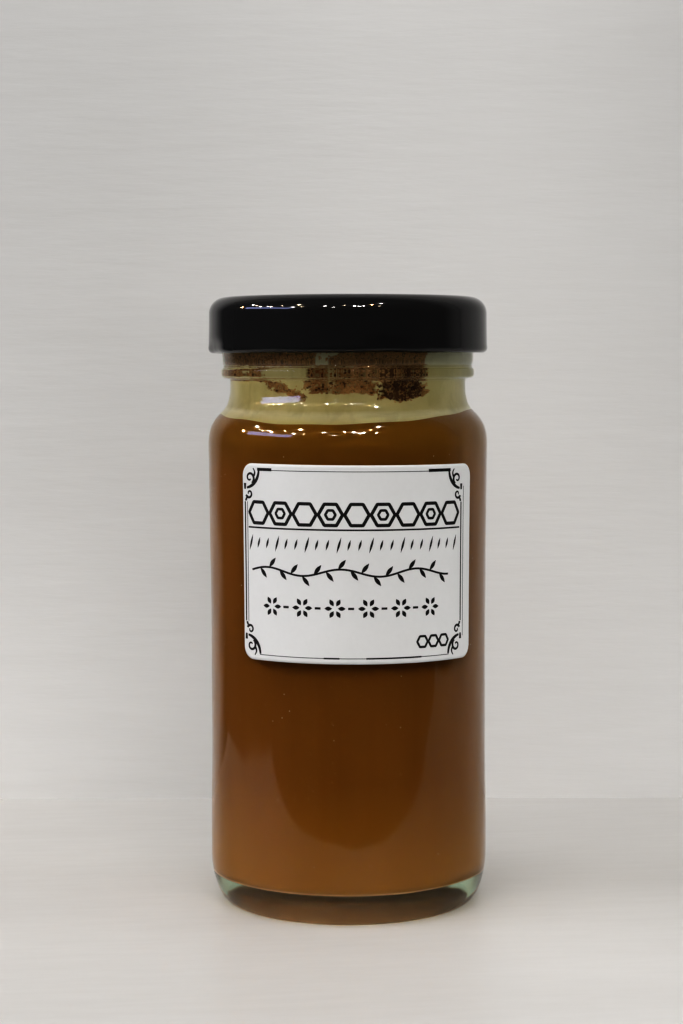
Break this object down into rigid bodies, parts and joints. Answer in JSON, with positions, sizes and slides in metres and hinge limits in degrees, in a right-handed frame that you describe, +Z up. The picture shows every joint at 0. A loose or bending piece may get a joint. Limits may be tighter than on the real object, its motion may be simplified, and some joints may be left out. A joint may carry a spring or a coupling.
{
  "type": "honey jar",
  "caption": "Small round clear glass jar of brown creamed honey with a pale foam layer and crumbs on top, a black twist-off lid and a white wrap-round paper label.",
  "frame": {"origin": "centre of the jar's base, on the surface it stands on", "axes": "+Z up along the jar's axis, -Y out of the middle of the label, +X to the right of one who looks at the label"},
  "size_m": [0.0446, 0.0448, 0.0967],
  "materials": {
    "clear_glass": "clear, smooth, faintly green",
    "black_lacquer": "glossy black lacquer on tinplate",
    "creamed_honey": "fine-grained, moist, amber brown",
    "honey_foam": "fine pale foam with dark brown crumbs",
    "white_paper": "smooth coated paper"
  },
  "bodies": {
    "root": {"glass_jar": "clear_glass", "twist_lid": "black_lacquer", "honey": "creamed_honey", "foam_with_crumbs": "honey_foam", "paper_label": "white_paper"}
  },
  "joints": []
}
